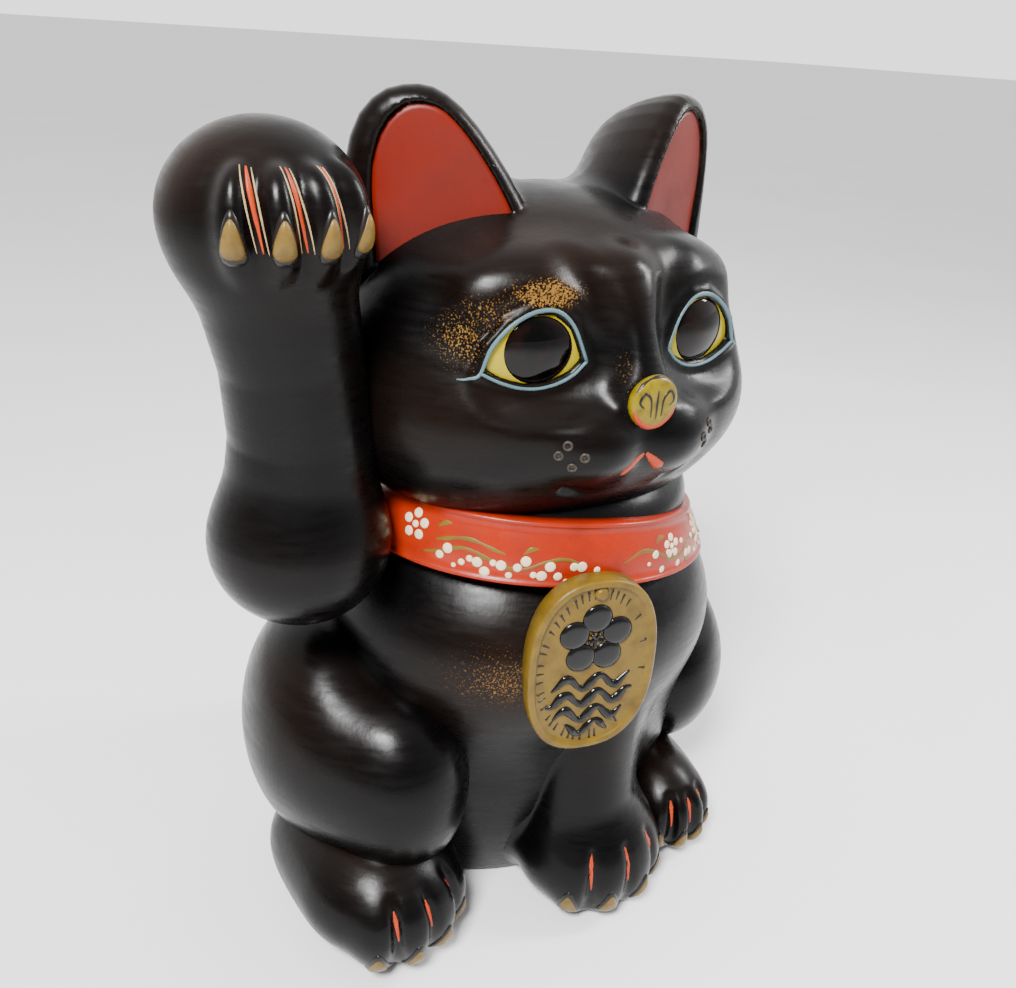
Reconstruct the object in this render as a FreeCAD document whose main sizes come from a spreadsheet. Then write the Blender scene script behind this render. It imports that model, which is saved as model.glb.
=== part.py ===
import FreeCAD, Part

import math
import os

import Sketcher

# Beckoning cat figurine: a seated cat of pressed and fired clay with its right paw raised.
# Every rounded mass was pressed in a two-part mould, so the head, the torso and the raised
# arm are hollow front and back shells; the smaller forms are luted on, and the eyes, nose,
# collar, coin and claws are separate pieces set on or into the clay.
#
# Frame: millimetres, +Z up, the cat faces -Y and its raised right arm is on the -X side.
# The origin is on the ground, in the middle of the torso's foot.

# Single sizes
SIZES = {
    "wall": 7.0,                # thickness of the pressed clay
    "seam_y": -14.0,            # where the front and back mould halves meet
    "neck_vent_radius": 40.0,   # opening between head and torso
    "ear_recess": 2.5,          # depth of the red panel below the ear's rim
    "ear_x": 62.5,
    "ear_y": -31.0,
    "ear_z": 324.0,
    "ear_half_width": 37.0,
    "ear_half_depth": 44.0,
    "ear_half_height": 47.0,
    "ear_turn": 27.0,           # the ear panels look this far outward
    "ear_rim": 6.0,
    "collar_x": 0.0,
    "collar_y": -18.0,
    "collar_z": 180.0,          # height of the band's lower edge at its middle
    "collar_half_width": 83.0,
    "collar_half_depth": 79.0,
    "collar_thick": 9.0,
    "collar_tall": 26.0,
    "collar_tilt": 4.0,         # the band drops toward the cat's left
    "base_plate_thick": 6.0,
    "vent_radius": 1.8,
    "vent_x": 30.0,
    "vent_y": 10.0,
    "coin_x": -18.0,
    "coin_y": -100.0,
    "coin_z": 150.0,
    "coin_turn": -12.0,
    "coin_wide": 63.0,
    "coin_tall": 92.0,
    "coin_thick": 10.0,
    "coin_rim": 3.5,
    "coin_field_depth": 1.5,
    "emblem_relief": 1.6,
    "petal_radius": 6.5,
    "petal_circle": 9.5,        # from the blossom's middle to each petal's middle
    "blossom_rise": 17.0,       # blossom centre above the coin's middle
    "stud_radius": 6.5,
    "stud_rise": 43.0,
    "eye_x": 41.0,
    "eye_y": -77.5,
    "eye_z": 280.0,
    "eye_turn": 10.0,
    "eye_half_wide": 21.0,
    "eye_rise": 20.5,           # upper lid's arch above the line through the corners
    "eye_drop": 8.5,            # lower lid's arch below that line
    "eye_corner_drop": 6.0,     # the corners sit this far below the glass's middle
    "eye_seat_depth": 4.0,
    "eyelid_wide": 2.0,
    "eyelid_proud": 1.5,
    "eye_panel_thick": 2.5,
    "eye_glass_radius": 12.2,
    "eye_glass_curve": 18.8,    # radius of the glass's domed face
    "eye_glass_proud": 5.0,
    "bedding_radius": 9.0,
    "bedding_thick": 6.0,
    "whisker_x": 31.0,
    "whisker_y": -93.0,
    "whisker_z": 240.0,
    "whisker_turn": 42.0,       # the sockets look this far outward
    "whisker_spread": 5.2,      # from the middle of the four holes to each hole
    "whisker_tube_long": 13.0,
    "whisker_tube_radius": 2.6,
    "whisker_hole_radius": 1.1,
    "claw_half_width": 4.6,
    "claw_half_depth": 3.6,
    "claw_half_height": 7.5,
}

# Rounded masses: centre x, y, z, then half width, half depth and half height
MASSES = {
    "skull": (0, -18, 268, 96, 74, 66),
    "jowls": (0, -26, 240, 101, 71, 52),
    "muzzle": (0, -72, 241, 42, 31, 28),
    "trunk": (0, -8, 90, 103, 83, 140),
    "chest": (0, -38, 142, 84, 71, 56),
    "neck": (0, -19, 196, 79, 75, 34),
    "haunch_right": (-95, -16, 84, 47, 74, 57),
    "haunch_left": (85, -10, 80, 42, 60, 53),
    "hind_paw_right": (-98, -62, 30, 41, 46, 34),
    "hind_paw_left": (64, -74, 25, 27, 36, 28),
    "front_paw": (8, -88, 24, 38, 34, 30),
    "raised_paw": (-131, -36, 327, 38, 37, 34),
    "tail_bob": (8, 68, 36, 22, 20, 26),
    "nose_pad": (0, -96, 263, 12.5, 9, 11),
}

# The masses that are hollow inside
HOLLOW_MASSES = [name for name in MASSES if name not in ("tail_bob", "nose_pad")]

# The haunches lean forward, knee down
TILTS = {"haunch_right": -20.0, "haunch_left": -16.0}

# Lofted masses, level by level: z, centre x, centre y, half width, half depth
LEVELS = {
    "forearm": [
        (160, -118, -27, 14, 15),
        (172, -118, -28, 30, 32),
        (188, -118, -28, 35, 37),
        (207, -118, -28, 35, 36),
        (240, -119, -30, 29, 32),
        (270, -123, -32, 28, 31),
        (300, -128, -34, 31, 33),
        (325, -131, -36, 31, 32),
    ],
    "foreleg": [
        (10, 6, -84, 34, 30),
        (40, 6, -78, 28, 26),
        (70, 6, -76, 26, 24),
        (112, 8, -82, 26, 14),
    ],
}

# Each row of claws: the paw it is set on and the height of its middle
CLAW_ROWS = {
    "claws_raised_paw": ("raised_paw", 317.0),
    "claws_foreleg": ("front_paw", 8.5),
    "claws_hind_right": ("hind_paw_right", 8.5),
    "claws_hind_left": ("hind_paw_left", 8.5),
}
CLAW_PLACES = (-0.66, -0.22, 0.22, 0.66)    # across the paw, in half widths

RADIUS_NAMES = ("half_width", "half_depth", "half_height")
LEVEL_NAMES = ("z", "x", "y", "half_width", "half_depth")
BLOCK = 700.0                   # side of the blocks that trim the clay, larger than the cat

DOC = FreeCAD.newDocument("BeckoningCat")
SHEET = DOC.addObject("Spreadsheet::Sheet", "dims")
Z_AXIS = FreeCAD.Vector(0, 0, 1)
X_AXIS = FreeCAD.Vector(1, 0, 0)


def sheet_values():
    """Every aliased cell of the sheet, by name."""
    values = dict(SIZES)
    for name, numbers in MASSES.items():
        labels = ("x", "y", "z") + RADIUS_NAMES
        for label, number in zip(labels, numbers):
            values[f"{name}_{label}"] = number
    for name, angle in TILTS.items():
        values[f"{name}_tilt"] = angle
    for name, levels in LEVELS.items():
        for index, level in enumerate(levels):
            for label, number in zip(LEVEL_NAMES, level):
                values[f"{name}_level{index}_{label}"] = number
    for name, (_, height) in CLAW_ROWS.items():
        values[f"{name}_z"] = height
    return values


def fill_sheet():
    for row, (alias, number) in enumerate(sheet_values().items(), start=1):
        SHEET.set(f"A{row}", alias)
        SHEET.set(f"B{row}", str(number))
        SHEET.setAlias(f"B{row}", alias)
    DOC.recompute()


def bind(item, **expressions):
    """Bind each property to the sheet; in an expression, dims is the sheet."""
    for name, expression in expressions.items():
        item.setExpression(name, expression)


def place(item, x="0 mm", y="0 mm", z="0 mm", axis=None, angle=None):
    """Bind an object's place; axis and angle add a turn about its own origin."""
    if axis is not None:
        item.Placement = FreeCAD.Placement(FreeCAD.Vector(), FreeCAD.Rotation(axis, 1))
        item.setExpression("Placement.Rotation.Angle", angle)
    item.setExpression("Placement.Base.x", x)
    item.setExpression("Placement.Base.y", y)
    item.setExpression("Placement.Base.z", z)


def face_out(item, where, turn):
    """Stand a piece drawn on XY upright at the named place, its +Z outward and turned."""
    upright = FreeCAD.Rotation(X_AXIS, 90)
    around = FreeCAD.Rotation(Z_AXIS, turn)
    item.Placement = FreeCAD.Placement(FreeCAD.Vector(), around.multiply(upright))
    item.setExpression("Placement.Base.x", where[0])
    item.setExpression("Placement.Base.y", where[1])
    item.setExpression("Placement.Base.z", where[2])


# ---------------------------------------------------------------- solids and booleans

def ball(name, radii, less=""):
    """An ellipsoid bound to three cells: half width, half depth, half height."""
    item = DOC.addObject("Part::Ellipsoid", name)
    bind(
        item,
        Radius1=f"dims.{radii}_half_height{less}",
        Radius2=f"dims.{radii}_half_width{less}",
        Radius3=f"dims.{radii}_half_depth{less}",
    )
    return item


def mass(name, inside=False):
    """One rounded mass, or the hollow in it, which is one wall smaller all round."""
    less = " - dims.wall" if inside else ""
    item = ball(f"{name}_{'hollow' if inside else 'form'}", name, less)
    axis = X_AXIS if name in TILTS else None
    place(item, f"dims.{name}_x", f"dims.{name}_y", f"dims.{name}_z", axis, f"dims.{name}_tilt")
    return item


def lofted(name, inside=False):
    """One lofted mass, or the hollow in it."""
    less = " - dims.wall" if inside else ""
    kind = "hollow" if inside else "form"
    sections = []
    wide = LEVELS[name][1][3] >= LEVELS[name][1][4]
    for index in range(len(LEVELS[name])):
        cell = f"dims.{name}_level{index}"
        ring = DOC.addObject("Part::Ellipse", f"{name}_{kind}_level{index}")
        along, across = ("half_width", "half_depth") if wide else ("half_depth", "half_width")
        bind(ring, MajorRadius=f"{cell}_{along}{less}", MinorRadius=f"{cell}_{across}{less}")
        height = f"{cell}_z"
        if inside and index == 0:
            height = f"{height} + dims.wall"
        place(ring, f"{cell}_x", f"{cell}_y", height, None if wide else Z_AXIS, "90 deg")
        sections.append(ring)
    loft = DOC.addObject("Part::Loft", f"{name}_{kind}")
    loft.Sections = sections
    loft.Solid = True
    loft.Ruled = False
    return loft


def cylinder(name, radius, start, depth):
    """A round rod along +Z."""
    rod = DOC.addObject("Part::Cylinder", name)
    bind(rod, Radius=radius, Height=depth)
    place(rod, z=start)
    return rod


def slab(name, low, height):
    """A block over the whole cat, from one height up."""
    box = DOC.addObject("Part::Box", name)
    bind(box, Length=f"{BLOCK} mm", Width=f"{BLOCK} mm", Height=height)
    place(box, f"{-BLOCK / 2} mm", f"{-BLOCK / 2} mm", low)
    return box


def front_block(name, x, y, turn, behind=0.0):
    """Everything in front of an upright plane through x, y, or a little behind it."""
    box = DOC.addObject("Part::Box", name)
    bind(box, Length=f"{BLOCK} mm", Width=f"{BLOCK} mm", Height=f"{BLOCK} mm")
    around = FreeCAD.Rotation(Z_AXIS, turn)
    corner = around.multVec(FreeCAD.Vector(-BLOCK / 2, behind - BLOCK, 0))
    box.Placement = FreeCAD.Placement(FreeCAD.Vector(), around)
    box.setExpression("Placement.Base.x", f"{x} + {corner.x}")
    box.setExpression("Placement.Base.y", f"{y} + {corner.y}")
    box.setExpression("Placement.Base.z", f"{-BLOCK / 4} mm")
    return box


def fuse(name, items):
    joined = DOC.addObject("Part::MultiFuse", name)
    joined.Shapes = items
    return joined


def common(name, items):
    shared = DOC.addObject("Part::MultiCommon", name)
    shared.Shapes = items
    return shared


def cut(name, base, tools):
    """Take each tool away from the base in turn; the last step carries the name."""
    result = base
    for index, tool in enumerate(tools):
        last = index == len(tools) - 1
        less = DOC.addObject("Part::Cut", name if last else f"{name}_step{index}")
        less.Base = result
        less.Tool = tool
        result = less
    return result


# ---------------------------------------------------------------- sketched pieces

def flat_sketch(owner, name, rise="0 mm", lift="0 mm"):
    """A sketch on the body's XY plane, moved along Y by rise and off the plane by lift."""
    sketch = owner.newObject("Sketcher::SketchObject", name)
    planes = [plane for plane in owner.Origin.OriginFeatures if plane.Role == "XY_Plane"]
    sketch.AttachmentSupport = [(planes[0], "")]
    sketch.MapMode = "FlatFace"
    sketch.setExpression("AttachmentOffset.Base.y", rise)
    sketch.setExpression("AttachmentOffset.Base.z", lift)
    return sketch


def constrain(sketch, kind, where, start, expression):
    """A sized constraint, first at its drawn value, then bound to the sheet."""
    index = sketch.addConstraint(Sketcher.Constraint(kind, *where, start))
    sketch.setExpression(f"Constraints[{index}]", expression)


def fix_point(sketch, item, point, spot, expressions):
    """Hold a point of a drawn item at a place measured from the sketch's origin."""
    for kind, start, expression in zip(("DistanceX", "DistanceY"), spot, expressions):
        constrain(sketch, kind, (-1, 1, item, point), start, expression)


def draw_circle(sketch, radius, across="0 mm", up="0 mm"):
    item = sketch.addGeometry(Part.Circle(FreeCAD.Vector(), Z_AXIS, 1.0), False)
    constrain(sketch, "Radius", (item,), 1.0, radius)
    fix_point(sketch, item, 3, (0.0, 0.0), (across, up))


def draw_stadium(sketch, radius, straight):
    """Two half circles joined by straight sides; both sizes are expressions."""
    arc_radius, half = 20.0, 10.0
    top = FreeCAD.Vector(0, half, 0)
    side = FreeCAD.Vector(arc_radius, 0, 0)
    crown = FreeCAD.Vector(0, arc_radius, 0)
    sketch.addGeometry(Part.Arc(top + side, top + crown, top - side), False)
    sketch.addGeometry(Part.LineSegment(top - side, -top - side), False)
    sketch.addGeometry(Part.Arc(-top - side, -top - crown, -top + side), False)
    sketch.addGeometry(Part.LineSegment(-top + side, top + side), False)
    for item in range(4):
        sketch.addConstraint(Sketcher.Constraint("Tangent", item, 2, (item + 1) % 4, 1))
    for item, sign in ((0, ""), (2, "-")):
        start = half if item == 0 else -half
        fix_point(sketch, item, 3, (0.0, start), ("0 mm", f"{sign}({straight}) / 2"))
        constrain(sketch, "Radius", (item,), arc_radius, radius)


def draw_lens(sketch, inset):
    """The eye's outline: two arcs that meet at its corners, drawn in by the inset."""
    wide = f"(dims.eye_half_wide - ({inset}) * 1.5)"
    rise = f"(dims.eye_rise - ({inset}))"
    drop = f"(dims.eye_drop - ({inset}))"
    right = FreeCAD.Vector(20, 0, 0)
    sketch.addGeometry(Part.Arc(right, FreeCAD.Vector(0, 19, 0), -right), False)
    sketch.addGeometry(Part.Arc(-right, FreeCAD.Vector(0, -8, 0), right), False)
    sketch.addConstraint(Sketcher.Constraint("Coincident", 0, 2, 1, 1))
    sketch.addConstraint(Sketcher.Constraint("Coincident", 1, 2, 0, 1))
    fix_point(sketch, 0, 1, (20.0, 0.0), (wide, "0 mm"))
    fix_point(sketch, 0, 2, (-20.0, 0.0), (f"-{wide}", "0 mm"))
    constrain(sketch, "Radius", (0,), 20.03, f"({wide} ^ 2 + {rise} ^ 2) / (2 * {rise})")
    constrain(sketch, "Radius", (1,), 29.0, f"({wide} ^ 2 + {drop} ^ 2) / (2 * {drop})")


def pad(owner, name, sketch, length):
    feature = owner.newObject("PartDesign::Pad", name)
    feature.Profile = sketch
    feature.setExpression("Length", length)
    return feature


def prism(name, draw, length, rise="0 mm", lift="0 mm"):
    """A body with one padded outline."""
    owner = DOC.addObject("PartDesign::Body", name)
    sketch = flat_sketch(owner, f"{name}_outline", rise, lift)
    draw(sketch)
    pad(owner, f"{name}_pad", sketch, length)
    return owner


# ---------------------------------------------------------------- clay

def build_forms():
    """The outer forms, each whole, and the hollows inside them."""
    forms = {name: mass(name) for name in MASSES}
    hollows = {name: mass(name, inside=True) for name in HOLLOW_MASSES}
    for name in LEVELS:
        forms[name] = lofted(name)
        hollows[name] = lofted(name, inside=True)
    joined = {
        "head": ("skull", "jowls", "muzzle"),
        "torso": ("trunk", "chest", "neck"),
        "arm": ("forearm", "raised_paw"),
        "leg": ("foreleg", "front_paw"),
    }
    for name, members in joined.items():
        forms[name] = fuse(f"{name}_form", [forms[member] for member in members])
        hollows[name] = fuse(f"{name}_hollow", [hollows[member] for member in members])
    return forms, hollows


def mould_halves(nodes, name, shell):
    """Split a shell at the mould seam into its front and back halves."""
    seam = front_block(f"{name}_seam", "0", "dims.seam_y", 0.0)
    nodes[f"{name}_front_shell"] = common(f"{name}_front_shell", [shell, seam])
    nodes[f"{name}_back_shell"] = cut(f"{name}_back_shell", shell, [seam])


def build_head(nodes, forms, hollows, settings):
    """The head shells, open to the torso below and seated for the eyes, nose and whiskers."""
    neck_vent = cylinder("neck_vent", "dims.neck_vent_radius", "dims.collar_z - 30", "60 mm")
    place(neck_vent, "0 mm", "dims.collar_y", "dims.collar_z - 30")
    shell = cut("head_shell", forms["head"], [hollows["head"], neck_vent] + settings)
    mould_halves(nodes, "head", shell)


def build_torso(nodes, forms, hollows, ring, underground):
    """The torso shells round the neck band, and the plate that closes the foot."""
    around = [hollows["torso"], forms["head"], ring, underground]
    shell = cut("torso_shell", forms["torso"], around)
    mould_halves(nodes, "torso", shell)
    plug = slab("base_slab", "0 mm", "dims.base_plate_thick")
    plate = common("base_disc", [hollows["torso"], plug])
    vent = cylinder("base_vent", "dims.vent_radius", "-5 mm", "20 mm")
    place(vent, "dims.vent_x", "dims.vent_y", "-5 mm")
    nodes["base_plate"] = cut("base_plate", plate, [vent])


def build_limbs(nodes, forms, hollows, ring, underground):
    """Haunches, hind paws, the standing foreleg and the raised arm, all hollow."""
    footing = slab("footing", f"{-BLOCK} mm", f"{BLOCK} + dims.wall")
    torso = forms["torso"]
    for side in ("right", "left"):
        haunch = f"haunch_{side}"
        nodes[haunch] = cut(haunch, forms[haunch], [hollows[haunch], torso])
        paw = f"hind_paw_{side}"
        room = cut(f"{paw}_room", hollows[paw], [footing])
        nodes[paw] = cut(paw, forms[paw], [room, forms[haunch], torso, underground])
    room = cut("leg_room", hollows["leg"], [footing])
    beside = [forms["hind_paw_left"], forms["hind_paw_right"], forms["haunch_left"]]
    nodes["foreleg_left"] = cut("foreleg_left", forms["leg"], [room, torso, underground] + beside)
    beside = [forms["head"], torso, ring, forms["haunch_right"]]
    arm = cut("arm_shell", forms["arm"], [hollows["arm"]] + beside)
    mould_halves(nodes, "raised_arm", arm)
    nodes["tail_bob"] = cut("tail_bob", forms["tail_bob"], [torso])


def build_ear(name, side, neighbours):
    """A thick half cone with a flat panel sunk below its rim, looking forward and outward."""
    x = f"{side} * dims.ear_x"
    whole = ball(f"{name}_form", "ear")
    inset = ball(f"{name}_inset", "ear", " - dims.ear_rim")
    for item in (whole, inset):
        place(item, x, "dims.ear_y", "dims.ear_z", Z_AXIS, f"{side} * dims.ear_turn")
    turn = side * SIZES["ear_turn"]
    before = front_block(f"{name}_before", x, "dims.ear_y", turn)
    sunk = front_block(f"{name}_sunk", x, "dims.ear_y", turn, SIZES["ear_recess"])
    recess = common(f"{name}_recess", [inset, sunk])
    return cut(name, whole, [before, recess] + neighbours)


# ---------------------------------------------------------------- set-in pieces

def build_eye(nodes, side, word):
    """Glass, painted panel, lid and bedding of one eye; returns the seat cut for them."""
    back = "-dims.eye_seat_depth * 1 mm"
    low = "-dims.eye_corner_drop * 1 mm"

    def lens(name, inset, length):
        return prism(name, lambda sketch: draw_lens(sketch, inset), length, low, back)

    def disc(name, radius, length, lift):
        return prism(name, lambda sketch: draw_circle(sketch, radius), length, "0 mm", lift)

    seat = lens(f"eye_seat_{word}", "0", "40 mm")
    bed_back = "-(dims.eye_seat_depth + dims.bedding_thick) * 1 mm"
    bed = disc(f"eye_bedding_{word}", "dims.bedding_radius", "dims.bedding_thick", bed_back)
    lid = lens(f"lid_outer_{word}", "0", "dims.eye_seat_depth + dims.eyelid_proud")
    opening = lens(f"lid_opening_{word}", "dims.eyelid_wide", "40 mm")
    panel = lens(f"panel_form_{word}", "dims.eyelid_wide", "dims.eye_panel_thick")
    rod = disc(f"glass_rod_{word}", "dims.eye_glass_radius", "20 mm", back)
    curve = DOC.addObject("Part::Sphere", f"glass_curve_{word}")
    bind(curve, Radius="dims.eye_glass_curve")
    place(curve, z="dims.eye_glass_proud - dims.eye_glass_curve")
    glass = common(f"eye_glass_{word}", [rod, curve])
    rim = cut(f"eyelid_rim_{word}", lid, [opening])
    painted = cut(f"eye_panel_{word}", panel, [rod])
    where = (f"{side} * dims.eye_x", "dims.eye_y", "dims.eye_z")
    for item in (seat, bed, glass, rim, painted):
        face_out(item, where, side * SIZES["eye_turn"])
    for item in (bed, glass, rim, painted):
        nodes[item.Name] = item
    return [seat, bed]


def build_whisker_sockets(nodes, side, word):
    """Four small bored tubes in a diamond; returns the solid plugs that make their seats."""
    name = f"whisker_sockets_{word}"
    spread = "dims.whisker_spread"
    spots = ((f"-{spread}", "0 mm"), (spread, "0 mm"), ("0 mm", f"-{spread}"), ("0 mm", spread))
    groups = {"plugs": [], "bores": []}
    for index, (across, up) in enumerate(spots):
        for kind, radius in (("plugs", "tube"), ("bores", "hole")):
            rod = cylinder(
                f"{name}_{kind}{index}", f"dims.whisker_{radius}_radius",
                "-dims.whisker_tube_long", "dims.whisker_tube_long",
            )
            place(rod, across, up, "-dims.whisker_tube_long")
            groups[kind].append(rod)
    plugs = fuse(f"{name}_plugs", groups["plugs"])
    bores = fuse(f"{name}_bores", groups["bores"])
    sockets = cut(name, plugs, [bores])
    seats = fuse(f"{name}_seats", groups["plugs"])
    where = (f"{side} * dims.whisker_x", "dims.whisker_y", "dims.whisker_z")
    for item in (sockets, seats):
        face_out(item, where, side * SIZES["whisker_turn"])
    nodes[name] = sockets
    return seats


def build_claws(nodes, forms):
    """Rows of four small rounded claws, each half sunk in its paw."""
    neighbours = {"claws_raised_paw": ["arm", "head"], "claws_foreleg": ["leg"]}
    for name, (paw, height) in CLAW_ROWS.items():
        x, y, z, wide, deep, tall = MASSES[paw]
        claws = []
        for index, across in enumerate(CLAW_PLACES):
            claw = ball(f"{name}_{index}", "claw")
            inward = math.sqrt(1 - across ** 2 - ((height - z) / tall) ** 2)
            place(
                claw, f"dims.{paw}_x + {across} * dims.{paw}_half_width",
                f"dims.{paw}_y - {inward} * dims.{paw}_half_depth", f"dims.{name}_z",
            )
            claws.append(claw)
        row = fuse(f"{name}_row", claws)
        nodes[name] = cut(name, row, [forms[other] for other in neighbours.get(name, [paw])])


def build_collar(forms):
    """The raised band round the neck, which drops toward the cat's left."""
    drums = []
    for name, less in (("collar_outer", ""), ("collar_inner", " - dims.collar_thick")):
        ring = DOC.addObject("Part::Ellipse", f"{name}_outline")
        bind(
            ring,
            MajorRadius=f"dims.collar_half_width{less}",
            MinorRadius=f"dims.collar_half_depth{less}",
        )
        drum = DOC.addObject("Part::Extrusion", name)
        drum.Base = ring
        drum.Dir = Z_AXIS
        drum.Solid = True
        bind(drum, LengthFwd="dims.collar_tall")
        drums.append(drum)
    ring = cut("collar_ring", drums[0], [drums[1]])
    tilt_axis = FreeCAD.Vector(0, 1, 0)
    place(ring, "dims.collar_x", "dims.collar_y", "dims.collar_z", tilt_axis, "dims.collar_tilt")
    return ring, cut("collar_band", ring, [forms["head"]])


def build_coin(nodes, forms, ring):
    """The oval coin with a raised rim, its blossom and the stud that hangs it."""
    where = ("dims.coin_x", "dims.coin_y", "dims.coin_z")
    straight = "dims.coin_tall - dims.coin_wide"
    coin = DOC.addObject("PartDesign::Body", "coin_form")
    outline = flat_sketch(coin, "coin_outline")
    draw_stadium(outline, "dims.coin_wide / 2", straight)
    pad(coin, "coin_pad", outline, "dims.coin_thick")
    field = flat_sketch(coin, "coin_field", lift="dims.coin_thick * 1 mm")
    draw_stadium(field, "dims.coin_wide / 2 - dims.coin_rim", straight)
    sunk = coin.newObject("PartDesign::Pocket", "coin_sunk_field")
    sunk.Profile = field
    bind(sunk, Length="dims.coin_field_depth")

    emblem = DOC.addObject("PartDesign::Body", "koban_emblem")
    floor = "(dims.coin_thick - dims.coin_field_depth) * 1 mm"
    rise = "dims.blossom_rise * 1 mm"
    heart = flat_sketch(emblem, "blossom_heart", rise, floor)
    draw_circle(heart, "dims.petal_circle")
    pad(emblem, "heart_pad", heart, "dims.emblem_relief / 2")
    petal = flat_sketch(emblem, "blossom_petal", rise, floor)
    draw_circle(petal, "dims.petal_radius", "0 mm", "dims.petal_circle")
    raised = pad(emblem, "petal_pad", petal, "dims.emblem_relief")
    ring_of_petals = emblem.newObject("PartDesign::PolarPattern", "petals")
    ring_of_petals.Originals = [raised]
    ring_of_petals.Axis = (petal, ["N_Axis"])
    ring_of_petals.Angle = 360
    ring_of_petals.Occurrences = 5
    emblem.Tip = ring_of_petals

    stud = DOC.addObject("Part::Sphere", "stud_form")
    bind(stud, Radius="dims.stud_radius")
    place(stud, "dims.coin_x", "dims.coin_y", "dims.coin_z + dims.stud_rise")
    for item in (coin, emblem):
        face_out(item, where, SIZES["coin_turn"])
    nodes["koban_plate"] = cut("koban_plate", coin, [forms["torso"], ring, forms["leg"]])
    nodes["koban_emblem"] = emblem
    nodes["koban_stud"] = cut("koban_stud", stud, [coin, forms["torso"], ring])


def check_and_write(nodes):
    """Stop on any failed object or shape, then write one file for each piece."""
    failed = []
    for item in DOC.Objects:
        if "Invalid" in item.State or "Error" in item.State:
            failed.append(f"{item.Name}: {item.State}")
    for name, item in nodes.items():
        item.Label = name
        if item.Shape.isNull() or not item.Shape.isValid() or not item.Shape.Solids:
            failed.append(f"{name}: shape is not a valid solid")
    if failed:
        raise RuntimeError("; ".join(failed))
    os.makedirs("parts", exist_ok=True)
    for name, item in nodes.items():
        item.Shape.exportStep(f"parts/{name}.step")
        print(f"{name}: {len(item.Shape.Solids)} solid(s), {item.Shape.Volume / 1000:.1f} cm3")


def build():
    fill_sheet()
    nodes = {}
    forms, hollows = build_forms()
    ring, nodes["collar_band"] = build_collar(forms)
    settings = [forms["nose_pad"]]
    for side, word in ((-1, "right"), (1, "left")):
        settings += build_eye(nodes, side, word)
        settings.append(build_whisker_sockets(nodes, side, word))
    nodes["nose_pad"] = forms["nose_pad"]
    build_head(nodes, forms, hollows, settings)
    underground = slab("underground", f"{-BLOCK} mm", f"{BLOCK} mm")
    build_torso(nodes, forms, hollows, ring, underground)
    build_limbs(nodes, forms, hollows, ring, underground)
    nodes["ear_right"] = build_ear("ear_right", -1, [forms["head"], forms["arm"]])
    nodes["ear_left"] = build_ear("ear_left", 1, [forms["head"]])
    build_claws(nodes, forms)
    build_coin(nodes, forms, ring)
    DOC.recompute()
    check_and_write(nodes)


build()
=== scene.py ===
import math

import bpy
import numpy as np
from mathutils import Matrix, Vector


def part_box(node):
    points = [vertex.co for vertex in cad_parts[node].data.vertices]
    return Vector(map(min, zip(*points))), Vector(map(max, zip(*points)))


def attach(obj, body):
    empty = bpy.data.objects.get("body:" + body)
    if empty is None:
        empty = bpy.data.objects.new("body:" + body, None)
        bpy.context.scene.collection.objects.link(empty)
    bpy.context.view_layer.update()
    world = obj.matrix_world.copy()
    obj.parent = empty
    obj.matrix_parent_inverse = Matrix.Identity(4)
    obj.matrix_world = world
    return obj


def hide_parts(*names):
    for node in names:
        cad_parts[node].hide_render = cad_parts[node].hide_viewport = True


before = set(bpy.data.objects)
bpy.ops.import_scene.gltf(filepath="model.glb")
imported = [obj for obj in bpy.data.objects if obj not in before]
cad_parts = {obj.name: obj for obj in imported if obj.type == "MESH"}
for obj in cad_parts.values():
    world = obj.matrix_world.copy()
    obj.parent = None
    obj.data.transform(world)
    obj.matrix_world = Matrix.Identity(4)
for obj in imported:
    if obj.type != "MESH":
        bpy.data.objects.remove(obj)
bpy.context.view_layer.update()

# The beckoning cat's visible skin. Each clay form is a signed distance field in the row
# frame's millimetres, meshed and laid on its own surface. Paint strokes, dots and claws are thin
# raised pieces laid on the same fields. Each form shifts with the CAD nodes that it stands for.

MM = 0.001
COARSE = 1.0
RNG = np.random.default_rng(7)


# ---------------- places

def node_middle(*nodes):
    """Middle of the box round some CAD nodes, in millimetres."""
    corners = np.array([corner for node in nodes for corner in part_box(node)])
    return (corners.min(0) + corners.max(0)) / 2 / MM


class Region:
    """Part of the cat, drawn with its CAD nodes' middle at a known design point."""

    def __init__(self, design_middle, *nodes):
        self.shift = node_middle(*nodes) - np.array(design_middle)

    def __call__(self, x, y, z):
        return np.array([x, y, z], float) + self.shift


SIDES = ((-1, "right"), (1, "left"))
HEAD = Region((0, -23.5, 263), "head_front_shell", "head_back_shell")
EARS = Region((0, -18, 332.6), "ear_right", "ear_left")
BODY = Region((0, -17, 109), "torso_front_shell", "torso_back_shell")
ARM = Region((-125.7, -32, 260.5), "raised_arm_front_shell", "raised_arm_back_shell")
HAUNCHES = {
    -1: Region((-103.7, -16, 84), "haunch_right"),
    1: Region((99.7, -10, 79), "haunch_left"),
}
HIND_PAWS = {
    -1: Region((-98, -62, 31), "hind_paw_right"),
    1: Region((64, -76.7, 26.5), "hind_paw_left"),
}
FORELEG = Region((7, -96, 55.5), "foreleg_left")
TAIL = Region((8, 74, 35.5), "tail_bob")
COLLAR = Region((1, -18, 193), "collar_band")
KOBAN = Region((-19, -105, 150), "koban_plate")
EYES = {
    side: Region((side * 40.8, -76.3, 280), "eyelid_rim_" + name) for side, name in SIDES
}
NOSE = Region((0, -96, 263), "nose_pad")


def turn_z(degrees):
    """Rotation matrix about +Z; its columns are the turned axes."""
    angle = math.radians(degrees)
    return np.array([
        [math.cos(angle), -math.sin(angle), 0],
        [math.sin(angle), math.cos(angle), 0],
        [0, 0, 1],
    ])


# ---------------- distance fields

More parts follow.
